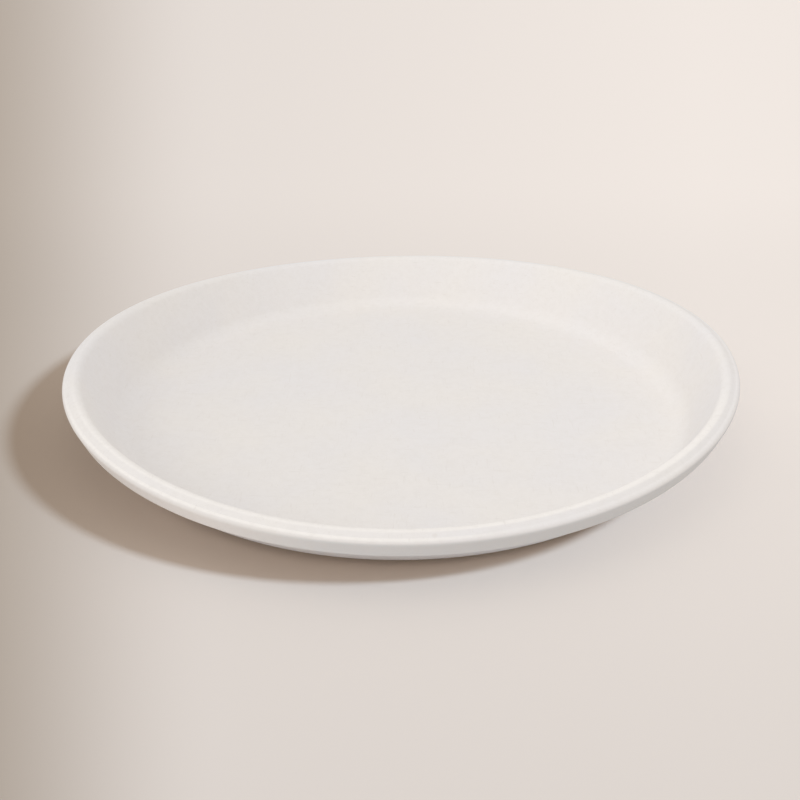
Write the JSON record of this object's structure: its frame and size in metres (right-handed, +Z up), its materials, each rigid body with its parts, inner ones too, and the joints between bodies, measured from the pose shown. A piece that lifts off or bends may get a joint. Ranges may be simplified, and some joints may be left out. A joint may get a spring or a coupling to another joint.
{
  "type": "paper plate",
  "caption": "Round disposable plate moulded from paper pulp, with a wide flat dish, a short steep side and a rounded rim that turns down.",
  "frame": {"origin": "centre of the flat base, on the surface that the plate stands on", "axes": "+Z up out of the dish; +X to the right and -Y towards the front, as the picture shows the plate"},
  "size_m": [0.23, 0.23, 0.0234],
  "materials": {
    "pulp": "matte, off-white, very faintly mottled pulp"
  },
  "bodies": {
    "root": {"plate": "pulp"}
  },
  "joints": []
}
